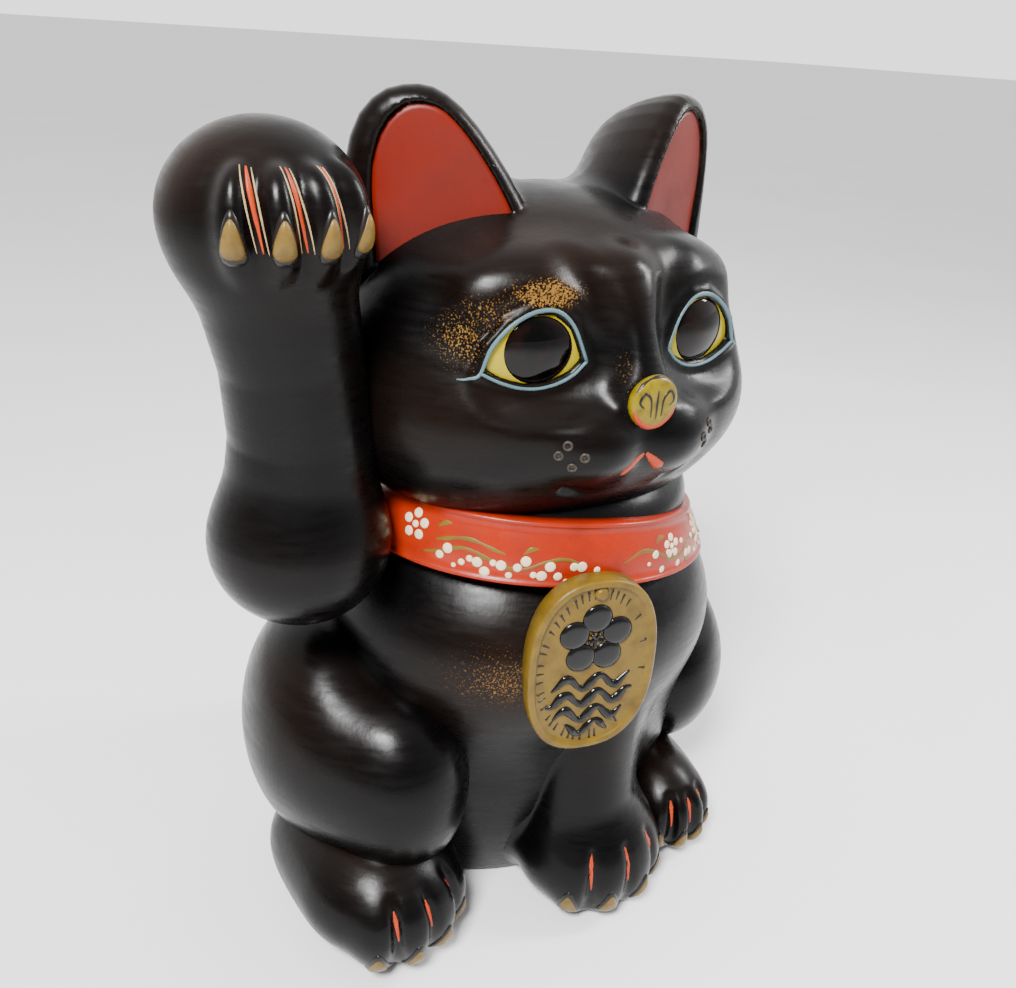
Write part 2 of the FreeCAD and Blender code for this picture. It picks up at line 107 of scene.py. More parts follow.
def ball(p, centre, radii, turn=None):
    """Distance to an ellipsoid, close to true near its surface."""
    q = p - centre
    if turn is not None:
        q = q @ turn
    a = q / radii
    k0 = np.sqrt((a * a).sum(1))
    b = a / radii
    k1 = np.sqrt((b * b).sum(1)) + 1e-9
    return k0 * (k0 - 1) / k1


def rod(p, start, end, radius_start, radius_end):
    """Distance to a tapered rod with round ends."""
    along = end - start
    t = np.clip(((p - start) @ along) / (along @ along), 0, 1)
    gap = p - start - t[:, None] * along
    return np.sqrt((gap * gap).sum(1)) - (radius_start + (radius_end - radius_start) * t)


def chain(p, points, radii):
    """Distance to a bent rod through the points."""
    pairs = zip(points[:-1], points[1:], radii[:-1], radii[1:])
    return np.min([rod(p, a, b, ra, rb) for a, b, ra, rb in pairs], axis=0)


def join(a, b, soft):
    """Union with a soft fillet."""
    h = np.clip(0.5 + 0.5 * (b - a) / soft, 0, 1)
    return b * (1 - h) + a * h - soft * h * (1 - h)


def local(p, middle, reach, shape, *sizes):
    """A shape's distance where p is within reach of the middle, and a far distance elsewhere."""
    close = ((p - middle) ** 2).sum(1) < reach * reach
    values = np.full(len(p), 40.0)
    if close.any():
        values[close] = shape(p[close], *sizes)
    return values


def carve(a, b, soft):
    """Take b out of a, with a soft edge."""
    return -join(-a, b, soft)


def meet(a, b, soft):
    """What a and b share, with a soft edge."""
    return -join(-a, -b, soft)


def outline_distance(u, v, outline):
    """Signed distance in a plane to a closed outline, negative inside."""
    best = np.full(u.shape, 1e9)
    inside = np.zeros(u.shape, bool)
    for (ax, ay), (bx, by) in zip(outline, np.roll(outline, -1, axis=0)):
        ex, ey = bx - ax, by - ay
        t = np.clip(((u - ax) * ex + (v - ay) * ey) / (ex * ex + ey * ey), 0, 1)
        best = np.minimum(best, (u - ax - t * ex) ** 2 + (v - ay - t * ey) ** 2)
        crosses = (ay > v) != (by > v)
        with np.errstate(divide="ignore", invalid="ignore"):
            inside ^= crosses & (u < (v - ay) * ex / (ey if ey else 1e-9) + ax)
    return np.where(inside, -1, 1) * np.sqrt(best)


def smooth_outline(points, passes=2):
    """Round a closed outline's corners by cutting them a few times."""
    points = np.array(points, float)
    for _ in range(passes):
        after = np.roll(points, -1, axis=0)
        points = np.stack([points * 0.75 + after * 0.25, points * 0.25 + after * 0.75], 1)
        points = points.reshape(-1, 2)
    return points


def smooth_line(points, count):
    """Points evenly spread on a smooth curve through the given ones."""
    points = np.array(points, float)
    ends = np.vstack([2 * points[0] - points[1], points, 2 * points[-1] - points[-2]])
    spans = len(points) - 1
    result = []
    for t in np.linspace(0, spans, count):
        i = min(int(t), spans - 1)
        s = t - i
        a, b, c, d = ends[i:i + 4]
        result.append(0.5 * (2 * b + (c - a) * s + (2 * a - 5 * b + 4 * c - d) * s ** 2
                             + (3 * b - a - 3 * c + d) * s ** 3))
    return np.array(result)


def unit(vectors):
    return vectors / (np.linalg.norm(vectors, axis=-1, keepdims=True) + 1e-9)


def upright(facing):
    """The directions right and up on a surface that faces the given way."""
    right = unit(np.cross(np.array([0, 0, 1.0]), facing))
    return right, np.cross(facing, right)


def gradient(field, p, reach=0.05):
    slopes = []
    for axis in range(3):
        step = np.zeros(3)
        step[axis] = reach
        slopes.append((field(p + step) - field(p - step)) / (2 * reach))
    return np.stack(slopes, 1)


def onto(field, p, rounds=4):
    """Lay points on the field's surface."""
    for _ in range(rounds):
        slope = gradient(field, p)
        size = (slope * slope).sum(1) + 1e-6
        move = (field(p) / size)[:, None] * slope
        length = np.linalg.norm(move, axis=1, keepdims=True) + 1e-9
        p = p - move * np.minimum(1, 1.5 / length)
    return p


def onto_from(field, p, hub, rounds=6):
    """Lay points on the field's surface along lines from a hub inside it."""
    way = unit(p - hub)
    for _ in range(rounds):
        slope = (gradient(field, p) * way).sum(1)
        move = field(p) / np.maximum(slope, 0.3)
        p = p - way * np.clip(move, -2.5, 2.5)[:, None]
    return p


def normals(field, p):
    return unit(gradient(field, p))


# ---------------- meshes

def make_mesh(name, points, faces, material, smooth=True):
    """A mesh object from points in millimetres."""
    mesh = bpy.data.meshes.new(name)
    mesh.from_pydata((np.asarray(points) * MM).tolist(), [], [tuple(f) for f in faces])
    mesh.polygons.foreach_set("use_smooth", [smooth] * len(mesh.polygons))
    mesh.materials.append(material)
    mesh.update()
    piece = bpy.data.objects.new(name, mesh)
    bpy.context.scene.collection.objects.link(piece)
    return piece


def sample_grid(field, low, high, step):
    """Field values on a grid, worked out in full only near the surface."""
    count = np.ceil((high - low) / step).astype(int) + 1
    rough = 4
    blocks = np.ceil(count / rough).astype(int) + 1
    axes = [low[i] + np.arange(blocks[i]) * step * rough for i in range(3)]
    centres = np.stack(np.meshgrid(*axes, indexing="ij"), -1).reshape(-1, 3)
    centres = centres + step * (rough - 1) / 2
    near = field(centres).reshape(blocks)
    values = np.repeat(np.repeat(np.repeat(near, rough, 0), rough, 1), rough, 2)
    values = values.astype(np.float32)
    picked = np.argwhere(np.abs(near) < step * rough * 1.6)
    inner = np.stack(np.meshgrid(*[np.arange(rough)] * 3, indexing="ij"), -1).reshape(-1, 3)
    for start in range(0, len(picked), 4000):
        cells = (picked[start:start + 4000, None] * rough + inner[None]).reshape(-1, 3)
        found = field(low + cells * step)
        values[cells[:, 0], cells[:, 1], cells[:, 2]] = found
    return values


def surface_net(values, low, step):
    """Quads round the zero surface of a grid of values."""
    shape = np.array(values.shape) - 1
    strides = np.array([shape[1] * shape[2], shape[2], 1])
    total = np.zeros((shape.prod(), 3))
    hits = np.zeros(shape.prod())
    quads = []
    for axis in range(3):
        side_a, side_b = (axis + 1) % 3, (axis + 2) % 3
        first, second = np.delete(values, -1, axis), np.delete(values, 0, axis)
        crossing = np.argwhere((first < 0) != (second < 0))
        inside = (crossing[:, side_a] > 0) & (crossing[:, side_b] > 0)
        inside &= (crossing[:, side_a] < shape[side_a]) & (crossing[:, side_b] < shape[side_b])
        crossing = crossing[inside]
        a = first[tuple(crossing.T)]
        b = second[tuple(crossing.T)]
        spot = crossing.astype(float)
        spot[:, axis] += a / (a - b)
        corners = []
        for da, db in ((0, 0), (1, 0), (1, 1), (0, 1)):
            cell = crossing.copy()
            cell[:, side_a] -= da
            cell[:, side_b] -= db
            index = cell @ strides
            corners.append(index)
            np.add.at(total, index, spot)
            np.add.at(hits, index, 1)
        quad = np.stack(corners, 1)
        flip = a < 0
        quad[flip] = quad[flip][:, ::-1]
        quads.append(quad[:, ::-1])
    used = np.flatnonzero(hits)
    renumber = np.zeros(len(hits), int)
    renumber[used] = np.arange(len(used))
    points = low + total[used] / hits[used][:, None] * step
    return points, renumber[np.concatenate(quads)]


def relax(field, points, quads, rounds=3):
    """Even out the mesh along the surface, then lay it on the surface again."""
    edges = np.concatenate([quads[:, [i, (i + 1) % 4]] for i in range(4)])
    for _ in range(rounds):
        total = np.zeros_like(points)
        for axis in range(3):
            total[:, axis] = np.bincount(edges[:, 0], points[edges[:, 1], axis], len(points))
            total[:, axis] += np.bincount(edges[:, 1], points[edges[:, 0], axis], len(points))
        count = np.bincount(edges.ravel(), minlength=len(points))
        move = (total / count[:, None] - points) * 0.6
        facing = normals(field, points)
        move -= (move * facing).sum(1, keepdims=True) * facing
        points = onto(field, points + move, 1)
    return onto(field, points, 2)


def sculpt(name, field, low, high, step, material):
    """A closed mesh on a distance field, smooth shaded."""
    step = step * COARSE
    points, quads = surface_net(sample_grid(field, low, high, step), low, step)
    points = relax(field, onto(field, points, 3), quads)
    return make_mesh(name, points, quads, material)


# ---------------- materials

class Tree:
    """Builds the nodes of a material or of the world."""

    def __init__(self, owner):
        owner.use_nodes = True
        self.nodes, self.links = owner.node_tree.nodes, owner.node_tree.links

    def node(self, kind, *sources, **settings):
        """A node with its first inputs set or linked, and its other inputs set by name."""
        node = self.nodes.new("ShaderNode" + kind)
        for name, value in settings.items():
            self.put(node.inputs[name.replace("_", " ")], value)
        for socket, source in zip(node.inputs, sources):
            self.put(socket, source)
        return node

    def put(self, socket, value):
        if isinstance(value, bpy.types.NodeSocket):
            self.links.new(value, socket)
        else:
            socket.default_value = value

    def noise(self, scale, detail=4.0, stretch=None):
        """A noise texture in the row frame's metres, stretched along an axis if asked."""
        place = self.node("TexCoord").outputs["Object"]
        if stretch is not None:
            place = self.node("Mapping", place, Scale=stretch).outputs["Vector"]
        texture = self.node("TexNoise", place, Scale=scale, Detail=detail, Roughness=0.55)
        return texture.outputs["Fac"]

    def ramp(self, source, low, high, start=0.0, end=1.0):
        """Map a value from low..high to start..end, clamped."""
        return self.node("MapRange", source, low, high, start, end).outputs["Result"]

    def mix(self, factor, first, second):
        """Blend two colours; each is a socket or an (r, g, b)."""
        node = self.node("Mix")
        node.data_type = "RGBA"
        self.put(node.inputs["Factor"], factor)
        for socket, colour in zip(node.inputs[6:8], (first, second)):
            self.put(socket, (*colour, 1) if isinstance(colour, tuple) else colour)
        return node.outputs[2]

    def maths(self, kind, first, second):
        node = self.node("Math", first, second)
        node.operation = kind
        return node.outputs["Value"]

    def attribute(self, name):
        node = self.node("Attribute")
        node.attribute_name = name
        return node.outputs["Fac"]


class Finish(Tree):
    """A new material and its shader."""

    def __init__(self, name):
        self.material = bpy.data.materials.new(name)
        super().__init__(self.material)

    def surface(self, colour, rough, gloss=None, height=None, depth=0.0):
        """Set the shader: gloss is its specular level, height is bumped over depth metres."""
        shader = self.nodes["Principled BSDF"]
        self.put(shader.inputs["Base Color"], colour)
        self.put(shader.inputs["Roughness"], rough)
        if gloss is not None:
            shader.inputs["Specular IOR Level"].default_value = gloss
        if height is not None:
            bump = self.node("Bump", Strength=0.5, Distance=depth, Height=height)
            self.put(shader.inputs["Normal"], bump.outputs["Normal"])
        return self.material


def lacquer(name):
    """Near-black lacquer, worn to brown, brushed in fine streaks, with sprinkled gold."""
    tree = Finish(name)
    ramp, maths = tree.ramp, tree.maths
    cloud = tree.noise(14.0, 5.0)
    grain = tree.noise(1300.0, 2.0)
    streak = tree.noise(60.0, 5.0, (1.0, 1.0, 6.0))
    scratch = tree.noise(260.0, 4.0, (1.0, 1.0, 0.12))
    worn = maths("MULTIPLY", tree.attribute("worn"), ramp(cloud, 0.3, 0.7))
    worn = maths("MAXIMUM", worn, ramp(cloud, 0.55, 0.85, 0.0, 0.18))
    base = tree.mix(worn, (0.0013, 0.0011, 0.0011), (0.0105, 0.0042, 0.0020))
    dense = maths("MULTIPLY", tree.attribute("gold"), ramp(cloud, 0.25, 0.6, 0.6, 1.0))
    flake = maths("ADD", grain, maths("MULTIPLY", dense, 0.3))
    dust = maths("MULTIPLY", ramp(flake, 0.70, 0.82), dense)
    dust = maths("MINIMUM", maths("MULTIPLY", dust, 1.6), 1.0)
    base = tree.mix(dust, base, (0.17, 0.082, 0.014))
    rough = maths("ADD", ramp(streak, 0.3, 0.75, 0.22, 0.38), ramp(dust, 0.0, 1.0, 0.0, 0.25))
    height = maths("ADD", ramp(scratch, 0.35, 0.7), streak)
    return tree.surface(base, rough, 0.13, height, 0.00006)


def paint(name, colour, dark, rough=0.32, scale=90.0, grime=0.45):
    """Hand-laid gloss paint: uneven colour, darker where it is thin, a soft brush texture."""
    tree = Finish(name)
    cloud = tree.noise(scale, 5.0)
    fine = tree.noise(scale * 7, 4.0)
    base = tree.mix(tree.ramp(cloud, 0.45, 0.75, 0.0, grime), colour, dark)
    base = tree.mix(tree.ramp(fine, 0.62, 0.72, 0.0, grime * 0.8), base, dark)
    uneven = tree.ramp(cloud, 0.3, 0.7, rough * 0.8, rough * 1.3)
    return tree.surface(base, uneven, 0.25, fine, 0.00012)


def eye_glass_material():
    """Dark, polished glass with a faint brown depth."""
    tree = Finish("eye_glass_dark")
    cloud = tree.noise(130.0, 3.0)
    base = tree.mix(tree.ramp(cloud, 0.4, 0.7), (0.0006, 0.0005, 0.0005), (0.006, 0.0018, 0.001))
    return tree.surface(base, tree.ramp(cloud, 0.3, 0.7, 0.03, 0.06), 0.22)


LACQUER = lacquer("black_lacquer")
EAR_RED = paint("ear_red", (0.125, 0.0055, 0.0008), (0.06, 0.003, 0.0006), 0.42, 40.0, 0.5)
COLLAR_RED = paint("collar_red", (0.27, 0.013, 0.001), (0.13, 0.007, 0.001), 0.3, 60.0, 0.5)
CREAM = paint("cream_dots", (0.66, 0.54, 0.36), (0.4, 0.28, 0.15), 0.4, 160.0)
OLIVE = paint("olive_gold", (0.13, 0.075, 0.008), (0.07, 0.035, 0.006), 0.4, 120.0)
STROKE_RED = paint("stroke_red", (0.36, 0.03, 0.002), (0.25, 0.03, 0.012), 0.4, 200.0)
EYE_YELLOW = paint("eye_yellow", (0.33, 0.26, 0.002), (0.17, 0.12, 0.002), 0.2, 120.0)
MUSTARD = paint("nose_mustard", (0.17, 0.125, 0.001), (0.06, 0.038, 0.001), 0.25, 170.0, 0.9)
LID_BLUE = paint("lid_blue", (0.07, 0.125, 0.14), (0.03, 0.055, 0.06), 0.35, 160.0)
CLAW_GOLD = paint("claw_gold", (0.13, 0.078, 0.014), (0.045, 0.024, 0.006), 0.38, 180.0, 0.6)
# pale gold for the lines along the raised paw's toe grooves: a painted highlight on the groove edges
GROOVE_HIGHLIGHT_PAINT = paint("painted_groove_highlight", (0.36, 0.26, 0.13), (0.12, 0.075, 0.03), 0.4, 260.0, 0.7)
OLD_GOLD = paint("old_gold", (0.125, 0.074, 0.006), (0.03, 0.016, 0.003), 0.36, 110.0, 0.6)
GLASS = eye_glass_material()
PITCH = paint("dark_paint", (0.008, 0.0065, 0.006), (0.02, 0.01, 0.007), 0.28, 90.0)
CLAY = paint("bare_clay", (0.42, 0.27, 0.17), (0.26, 0.16, 0.1), 0.8, 60.0)
PUTTY = paint("eye_putty", (0.36, 0.33, 0.27), (0.2, 0.17, 0.13), 0.85, 140.0)
PITCH_GLOSS = paint("gloss_black", (0.004, 0.0038, 0.0042), (0.010, 0.007, 0.006), 0.10, 120.0)
CLAY_RING = paint("worn_ring", (0.028, 0.022, 0.016), (0.008, 0.006, 0.005), 0.4, 300.0)


# ---------------- forms

EAR_TURN = 27.0
EAR_RIM = smooth_outline([
    (-26, 270), (-31, 300), (-30, 335), (-26, 356), (-16, 368), (-3, 371.5), (8, 370), (20, 361),
    (33, 345), (44, 328), (56, 306), (62, 280),
], 1)
EAR_PANEL = smooth_outline([
    (-14, 285), (-17, 316), (-18.5, 340), (-14, 356), (-5, 364.5), (6, 364.5), (15, 358),
    (26, 345), (37, 328), (45, 310), (50, 290),
])
EAR_DEPTH = 56.0
EAR_TAPER = 40.0


def ear_axes(side):
    """One ear's pivot, inward, and backward directions."""
    angle = math.radians(EAR_TURN)
    inward = np.array([-side * math.cos(angle), -math.sin(angle), 0])
    back = np.array([-side * math.sin(angle), math.cos(angle), 0])
    return EARS(side * 68.0, -28.0, 0.0), inward, back


def ear_field(p, side):
    """A thick half cone: the rim's outline draws in toward the back along an arc."""
    pivot, inward, backward = ear_axes(side)
    across, up, back = (p - pivot) @ inward, p[:, 2] - pivot[2], (p - pivot) @ backward
    draw_in = np.clip(back / EAR_DEPTH, 0, 0.999)
    shrink = EAR_TAPER * (1 - np.sqrt(1 - draw_in ** 2)) + np.maximum(back - EAR_DEPTH, 0)
    solid = meet((outline_distance(across, up, EAR_RIM) + shrink) * 0.85, -back, 11.0)
    panel = np.maximum(outline_distance(across, up, EAR_PANEL), back - 3.4)
    return carve(solid, panel, 1.2)


def eye_axes(side):
    """One eye's centre, outward-across direction and facing direction."""
    angle = math.radians(EYE_TURN)
    across = np.array([side * math.cos(angle), math.sin(angle), 0])
    facing = np.array([side * math.sin(angle), -math.cos(angle), 0])
    return EYES[side](side * 40.8, -77.0, 281 if side > 0 else 280), across, facing


EYE_UPPER = smooth_line([(21.5, -7), (16.5, 4), (7, 12.5), (-4, 15.5), (-13, 10.5), (-20.5, -4.5)], 13)
EYE_LOWER = smooth_line([(-20.5, -4.5), (-13, -11), (-1, -14.2), (11, -12), (21.5, -7)], 11)
EYE_OUTLINE = np.vstack([EYE_UPPER, EYE_LOWER[1:-1]])
EYE_TURN = 10.0      # degrees that each eye faces outward
LID_SCALE = 1.1


def eye_lid(p, side):
    """The raised fold round one eye."""
    centre, across, facing = eye_axes(side)
    loop = [
        centre + u * LID_SCALE * across + np.array([0, 0, v * LID_SCALE]) + 0.7 * facing
        for u, v in EYE_OUTLINE[::2]
    ]
    return chain(p, loop + loop[:1], [2.3] * (len(loop) + 1))


# on each side of the face: brow, cheek and whisker pad as (middle, radii, turn, reach, soft)
FACE_SWELLS = (
    ((36, -66, 301), (24, 9, 10), 14, 80, 22),
    ((48, -66, 247), (32, 20, 20), 28, 80, 14),
    ((18, -85.5, 243), (22, 20, 17), 12, 75, 8),
)
# the forehead furrow and the groove beside the nose as (start, end, end radius, reach, soft)
FACE_HOLLOWS = (
    ((27, -80, 316), (10, -89, 290), 2.0, 70, 14),
    ((19, -91, 284), (17, -99, 264), 1.6, 60, 8),
)
SMILE = ((-30, -90, 225), (-14, -96, 218), (0, -97, 219), (14, -96, 218), (28, -91, 228))


def skull_field(p):
    """The head without its ears."""
    head = ball(p, HEAD(-1, -18, 268), (94, 73, 66))
    head = join(head, ball(p, HEAD(-1, -26, 240), (96, 70, 52)), 26)
    head = join(head, ball(p, HEAD(0, 4, 232), (74, 56, 46)), 20)
    for side, _ in SIDES:
        face = HEAD(side * 38, -86, 272)
        for (x, y, z), radii, turn, reach, soft in FACE_SWELLS:
            swell = local(p, face, reach, ball, HEAD(side * x, y, z), radii, turn_z(side * turn))
            head = join(head, swell, soft)
        for (x, y, z), (to_x, to_y, to_z), end_radius, reach, soft in FACE_HOLLOWS:
            start, end = HEAD(side * x, y, z), HEAD(side * to_x, to_y, to_z)
            head = carve(head, local(p, face, reach, rod, start, end, 2.0, end_radius), soft)
    front = HEAD(0, -92, 255)
    bridge = [HEAD(0, -74, 304), HEAD(0, -83, 284), HEAD(0, -91, 267)]
    head = join(head, local(p, front, 80, chain, bridge, [9.0, 10.0, 11.0]), 12)
    smile = [HEAD(x, y, z) for x, y, z in SMILE]
    head = carve(head, local(p, front, 70, chain, smile, [0.3, 0.8, 0.8, 0.8, 0.3]), 6)
    lip = HEAD(0, -106, 252), HEAD(0, -105, 239)
    head = carve(head, local(p, front, 40, rod, *lip, 0.8, 1.0), 2.5)
    for side, _ in SIDES:
        centre, _, facing = eye_axes(side)
        turn = turn_z(side * EYE_TURN)
        hollow = centre + 14 * facing + np.array([0, 0, 1])
        head = carve(head, local(p, centre, 60, ball, hollow, (34, 15, 25), turn), 8)
        head = carve(head, local(p, centre, 45, ball, centre, (22.5, 5, 15.5), turn), 2)
        head = join(head, local(p, centre, 45, eye_lid, side), 3)
    return head


def head_field(p):
    """The head with both ears, crisp along the panels and filleted behind."""
    head = skull_field(p)
    for side, _ in SIDES:
        pivot, _, backward = ear_axes(side)
        back = (p - pivot) @ backward
        fillet = 1.2 + 16 * np.clip((back - 8) / 28, 0, 1)
        head = join(head, local(p, EARS(side * 58, -14, 325), 78, ear_field, side), fillet)
    return head


def under_floor(p, region):
    """Positive below the plane that the cat stands on."""
    return region(0, 0, 0)[2] - p[:, 2]


def torso_field(p):
    body = ball(p, BODY(0, -8, 90), (102, 82, 140))
    body = join(body, ball(p, BODY(0, -36, 138), (86, 71, 54)), 30)
    body = join(body, ball(p, BODY(0, -19, 196), (77, 72, 34)), 8)
    body = join(body, ball(p, BODY(0, 26, 50), (84, 50, 56)), 30)
    body = meet(body, under_floor(p, BODY), 2.0)
    q = p - BODY(0, -8, 3)
    footprint = (np.sqrt((q[:, 0] / 75.5) ** 2 + (q[:, 1] / 60) ** 2) - 1) * 60
    return carve(body, np.maximum(footprint, p[:, 2] - BODY(0, 0, 6.3)[2]), 0.6)


def round_paw(centre, radii, angle, out, height):
    """A point round a paw: its angle from straight ahead, and how far out and up it is."""
    turn = math.radians(angle)
    return centre + np.array([math.sin(turn) * radii[0] * out, -math.cos(turn) * radii[1] * out, height])


def toes(p, centre, radii, angles, out, drop, size, soft):
    """Toe pads set round the front of a paw."""
    pads = None
    for angle in angles:
        pad = ball(p, round_paw(centre, radii, angle, out, drop), size, turn_z(angle))
        pads = pad if pads is None else join(pads, pad, soft)
    return pads


FORE_ANGLES = (-44, -12, 20, 48)
HIND_ANGLES = {-1: (-26, 1, 27, 52), 1: (-36, -9, 17, 42)}


def grooved(p, paw, centre, radii, angles, high, low, lean, depth):
    """Soft grooves run down between the toes."""
    for left, right in zip(angles[:-1], angles[1:]):
        middle = (left + right) / 2
        line = [
            round_paw(centre, radii, middle + tilt, out, height) for height, tilt, out in
            ((high, -lean, 0.86), ((high + low) / 2, -lean * 0.3, 1.0), (low, lean * 0.3, 1.0))
        ]
        paw = carve(paw, local(p, line[1], 50, chain, line, [0.3, depth, depth]), 5)
    return paw


def resting_paw(p, centre, radii, angles):
    size = (radii[0] * 0.27, radii[1] * 0.36, radii[2] * 0.62)
    pads = toes(p, centre, radii, angles, 0.66, -radii[2] * 0.16, size, 2.5)
    paw = join(ball(p, centre, radii), pads, 8)
    return grooved(p, paw, centre, radii, angles, radii[2] * 0.55, -radii[2] * 0.5, 2, 1.2)


def foreleg_field(p):
    """The standing foreleg, which grows out of the chest."""
    leg = chain(
        p, [FORELEG(4, -76, 110), FORELEG(3, -78, 84), FORELEG(3, -80, 50), FORELEG(5, -84, 28)],
        [25, 26, 29, 30],
    )
    # a crisp crease on its right side, a soft one on its left
    fillet = 2.5 + 12 * np.clip((p[:, 0] - FORELEG(-6, 0, 0)[0]) / 22, 0, 1)
    leg = join(leg, torso_field(p), fillet) + 0.4
    paw = resting_paw(p, FORELEG(6, -87, 24), (37, 33, 31), FORE_ANGLES)
    leg = join(leg, paw, 10)
    return meet(meet(leg, under_floor(p, FORELEG), 2.5), p[:, 1] + 45, 2)


# each haunch: the thigh's middle and radii, the knee's middle and radii, their turns, the fillet
HAUNCH_SHAPES = {
    -1: ((-99.5, -5, 82), (40.5, 62, 59), (-87, -60, 75), (33, 34, 45), (-16, -20), 22),
    1: ((89, -2, 80), (38, 58, 53), (78, -46, 76), (29, 29, 37), (12, 12), 20),
}
# each hind paw: its middle and radii, and the heel's middle
HIND_PAW_SHAPES = {
    -1: ((-98, -62, 27), (38.5, 43, 31), (-100, -30, 24)),
    1: ((60, -72, 24), (24, 32, 26), (66, -44, 23)),
}


def haunch_field(p, side):
    at = HAUNCHES[side]
    thigh, thigh_radii, knee, knee_radii, turns, soft = HAUNCH_SHAPES[side]
    haunch = ball(p, at(*thigh), thigh_radii, turn_z(turns[0]))
    return join(haunch, ball(p, at(*knee), knee_radii, turn_z(turns[1])), soft)


def hind_paw_field(p, side):
    at = HIND_PAWS[side]
    middle, radii, heel = HIND_PAW_SHAPES[side]
    paw = resting_paw(p, at(*middle), radii, HIND_ANGLES[side])
    paw = join(paw, ball(p, at(*heel), (radii[0] * 0.95, radii[1] * 0.9, radii[2] * 0.9)), 14)
    return meet(paw, under_floor(p, at), 2.5)


ARM_ANGLES = (-34, -10, 14, 39)


def arm_field(p):
    """The raised arm, fat at the elbow, with the paw folded down at the wrist."""
    shaft = chain(
        p, [ARM(-118, -28, 200), ARM(-117.5, -30, 240), ARM(-121.5, -32, 272), ARM(-130, -36, 312)],
        [33, 29, 28, 30],
    )
    arm = join(shaft, ball(p, ARM(-119, -28, 191), (37, 38, 34.5)), 12)
    paw = ball(p, ARM(-131, -35, 326), (37.5, 34, 34))
    arm = join(arm, paw, 10)
    pads = toes(p, ARM(-131, -35, 327), (37, 37, 34), ARM_ANGLES, 0.76, 0.5, (9.0, 13, 19.5), 1.5)
    arm = join(arm, pads, 4)
    return grooved(p, arm, ARM(-131, -35, 327), (38, 39), ARM_ANGLES, 26, -12, 7, 1.6)


def tail_field(p):
    bob = ball(p, TAIL(8, 68, 36), (22, 20, 25))
    return join(bob, ball(p, TAIL(8, 62, 56), (13, 14, 12)), 10)


# ---------------- the pieces' masks

def set_mask(piece, name, *blobs):
    """Store where the worn or gilded patches are; each blob is (centre, radii, edge, amount)."""
    points = np.zeros(len(piece.data.vertices) * 3, np.float32)
    piece.data.vertices.foreach_get("co", points)
    points = points.reshape(-1, 3) / MM
    values = np.zeros(len(points))
    for centre, radii, edge, amount in blobs:
        depth = 1 - np.linalg.norm((points - centre) / radii, axis=1)
        values = np.maximum(values, np.clip((depth + edge) / (2 * edge), 0, 1) * amount)
    layer = piece.data.attributes.new(name, "FLOAT", "POINT")
    layer.data.foreach_set("value", values.astype(np.float32))


def place_piece(piece, slot, *nodes):
    """The piece stands still with the figure, and stands for its CAD nodes."""
    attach(piece, "root")
    if nodes:
        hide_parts(*nodes)


def build_forms():
    skin = sculpt("head_skin", head_field, HEAD(-112, -116, 186), HEAD(112, 66, 376), 1.3, LACQUER)
    set_mask(
        skin, "gold",
        (HEAD(-38, -80, 302), (16, 14, 6), 0.5, 1.0),
        (HEAD(-58, -72, 294), (14, 14, 8), 0.6, 0.6),
        (HEAD(-68, -68, 284), (10, 14, 11), 0.6, 0.7),
        (HEAD(-9, -96, 272), (5, 8, 12), 0.6, 0.4),
    )
    set_mask(
        skin, "worn",
        (HEAD(-30, -75, 318), (40, 30, 22), 0.7, 1.0),
        (HEAD(-60, -75, 255), (40, 30, 20), 0.7, 0.7),
        (EARS(-60, -5, 350), (34, 30, 22), 0.6, 1.0),
        (EARS(60, -5, 350), (34, 30, 22), 0.6, 1.0),
    )
    place_piece(
        skin, "black_lacquer", "head_front_shell", "head_back_shell", "ear_right", "ear_left")

    body = sculpt("torso_skin", torso_field, BODY(-110, -116, -3), BODY(110, 84, 236), 2.0, LACQUER)
    set_mask(body, "gold", (BODY(-54, -88, 139), (22, 26, 13), 0.75, 0.62))
    set_mask(body, "worn", (BODY(-50, -88, 140), (34, 30, 26), 0.7, 1.0))
    place_piece(body, "black_lacquer", "torso_front_shell", "torso_back_shell")

    arm = sculpt("raised_arm_skin", arm_field, ARM(-174, -80, 156), ARM(-80, 8, 366), 1.4, LACQUER)
    set_mask(arm, "gold")
    set_mask(
        arm, "worn",
        (ARM(-155, -40, 340), (26, 30, 26), 0.7, 1.0),
        (ARM(-120, -58, 320), (40, 20, 20), 0.7, 0.5),
    )
    place_piece(arm, "black_lacquer", "raised_arm_front_shell", "raised_arm_back_shell")

    simple = (
        ("haunch_right_skin", lambda p: haunch_field(p, -1), HAUNCHES[-1],
         (-152, -102, 14), (-48, 66, 150), "haunch_right"),
        ("haunch_left_skin", lambda p: haunch_field(p, 1), HAUNCHES[1],
         (40, -84, 20), (132, 64, 138), "haunch_left"),
        ("hind_paw_right_skin", lambda p: hind_paw_field(p, -1), HIND_PAWS[-1],
         (-146, -116, -3), (-50, 16, 66), "hind_paw_right"),
        ("hind_paw_left_skin", lambda p: hind_paw_field(p, 1), HIND_PAWS[1],
         (30, -118, -3), (100, -4, 58), "hind_paw_left"),
        ("foreleg_skin", foreleg_field, FORELEG, (-36, -128, -3), (52, -30, 150), "foreleg_left"),
        ("tail_skin", tail_field, TAIL, (-18, 40, 6), (34, 94, 74), "tail_bob"),
    )
    for name, field, at, low, high, node in simple:
        piece = sculpt(name, field, at(*low), at(*high), 1.5, LACQUER)
        set_mask(piece, "gold")
        middle = (at(*low) + at(*high)) / 2
        set_mask(piece, "worn", (middle + [-20, 0, 30], (30, 50, 20), 0.7, 0.6))
        place_piece(piece, "black_lacquer", node)


# ---------------- laid-on paint and trim

